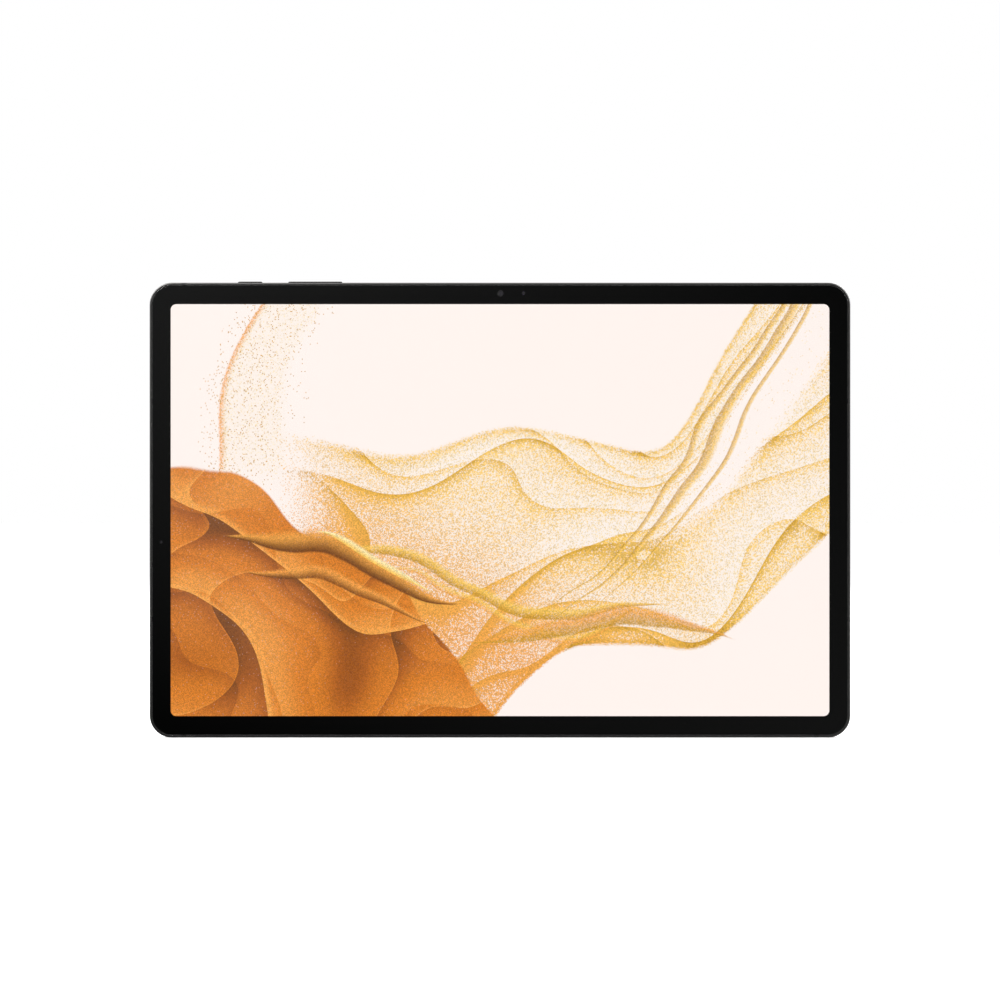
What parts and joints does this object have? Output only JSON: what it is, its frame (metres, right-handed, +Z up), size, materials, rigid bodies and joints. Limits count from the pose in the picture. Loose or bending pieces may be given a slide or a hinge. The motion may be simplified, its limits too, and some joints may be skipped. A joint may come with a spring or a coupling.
{
  "type": "tablet computer",
  "caption": "Slim slate tablet computer with a lit wide screen, dark metal housing, edge keys, a card tray, a port and a small rear camera island.",
  "frame": {"origin": "middle of the lower long edge, at half the thickness of the case, on the surface it stands on", "axes": "+X along the long edge, to the right as one faces the screen; +Y from the screen to the back; +Z up"},
  "size_m": [0.285, 0.0067, 0.1856],
  "materials": {
    "anodised_aluminium": "fine bead-blasted graphite anodising",
    "island_aluminium": "graphite anodising, satin, with a polished edge",
    "key_aluminium": "graphite anodising, satin",
    "bare_aluminium": "plain stamped sheet",
    "antenna_plastic": "fine matt",
    "cover_glass": "polished, clear",
    "black_print": "smooth black print",
    "black_foam": "closed-cell foam tape",
    "display": "lit panel with an abstract amber picture",
    "flex_film": "amber polyimide film",
    "graphite": "satin graphite sheet",
    "screw_steel": "turned",
    "battery_foil": "wrapped laminate pouch",
    "white_tape": "stretch-release tape",
    "circuit_board": "solder mask",
    "chip_plastic": "moulded epoxy",
    "sheet_steel": "stamped",
    "thermal_rubber": "soft pad",
    "connector_plastic": "moulded",
    "camera_plastic": "moulded black",
    "polished_ring": "diamond-turned ring",
    "lens_glass": "polished, coated",
    "flash_plastic": "clear ridged lens",
    "led_phosphor": "phosphor",
    "port_steel": "drawn shell",
    "gold_plate": "gold plating",
    "seal_rubber": "silicone",
    "speaker_plastic": "moulded",
    "mesh_steel": "fine woven, blackened",
    "coax_jacket": "extruded jacket",
    "magnet_plate": "nickel plating"
  },
  "bodies": {
    "tablet": {"rear_housing": "anodised_aluminium", "antenna_bands": "antenna_plastic", "cover_glass": "cover_glass", "bezel_print": "black_print", "glass_adhesive": "black_foam", "display_panel": "display", "display_flex": "flex_film", "mid_plate": "bare_aluminium", "graphite_sheet": "graphite", "chassis_screws": "screw_steel", "board_screws": "screw_steel", "battery_cell_left": "battery_foil", "battery_cell_right": "battery_foil", "battery_adhesive": "white_tape", "battery_board": "circuit_board", "battery_lead": "flex_film", "main_board": "circuit_board", "processor": "chip_plastic", "memory_chip": "chip_plastic", "storage_chip": "chip_plastic", "power_chips": "chip_plastic", "shield_cans": "sheet_steel", "thermal_pad": "thermal_rubber", "board_connectors": "connector_plastic", "front_camera": "camera_plastic", "light_sensor": "camera_plastic", "side_sensor": "camera_plastic", "rear_camera_main": "camera_plastic", "rear_camera_wide": "camera_plastic", "camera_island": "island_aluminium", "lens_rings": "polished_ring", "lens_windows": "lens_glass", "flash_lens": "flash_plastic", "flash_led": "led_phosphor", "camera_flexes": "flex_film", "power_dome": "sheet_steel", "volume_domes": "sheet_steel", "key_flex": "flex_film", "key_bracket": "sheet_steel", "card_socket": "sheet_steel", "usb_shell": "port_steel", "usb_tongue": "connector_plastic", "usb_contacts": "gold_plate", "usb_seal": "seal_rubber", "usb_board": "circuit_board", "usb_flex": "flex_film", "speaker_left_lower": "speaker_plastic", "speaker_left_upper": "speaker_plastic", "speaker_right_lower": "speaker_plastic", "speaker_right_upper": "speaker_plastic", "grille_meshes": "mesh_steel", "microphones": "sheet_steel", "dock_insulator": "antenna_plastic", "dock_contacts": "gold_plate", "antennas": "antenna_plastic", "coax_leads": "coax_jacket", "cover_magnets": "magnet_plate"},
    "power_button": {"power_button": "key_aluminium"},
    "volume_rocker": {"volume_rocker": "key_aluminium"},
    "card_tray": {"card_tray": "key_aluminium"}
  },
  "joints": [
    {"name": "power_button_press", "type": "slide", "parent": "tablet", "child": "power_button", "axis": [0, 0, -1], "range_m": [0, 0.00025], "stiffness_N_per_m": 1500, "springref_m": -0.0003, "deforming": ["power_dome"]},
    {"name": "volume_rocker_tilt", "type": "hinge", "parent": "tablet", "child": "volume_rocker", "pos_m": [-0.0753, 0.0004, 0.1828], "axis": [0, 1, 0], "range_deg": [-1.2, 1.2], "stiffness_Nm_per_rad": 0.4, "deforming": ["volume_domes"]},
    {"name": "card_tray_slide", "type": "slide", "parent": "tablet", "child": "card_tray", "axis": [0, 0, 1], "range_m": [0, 0.025]}
  ]
}
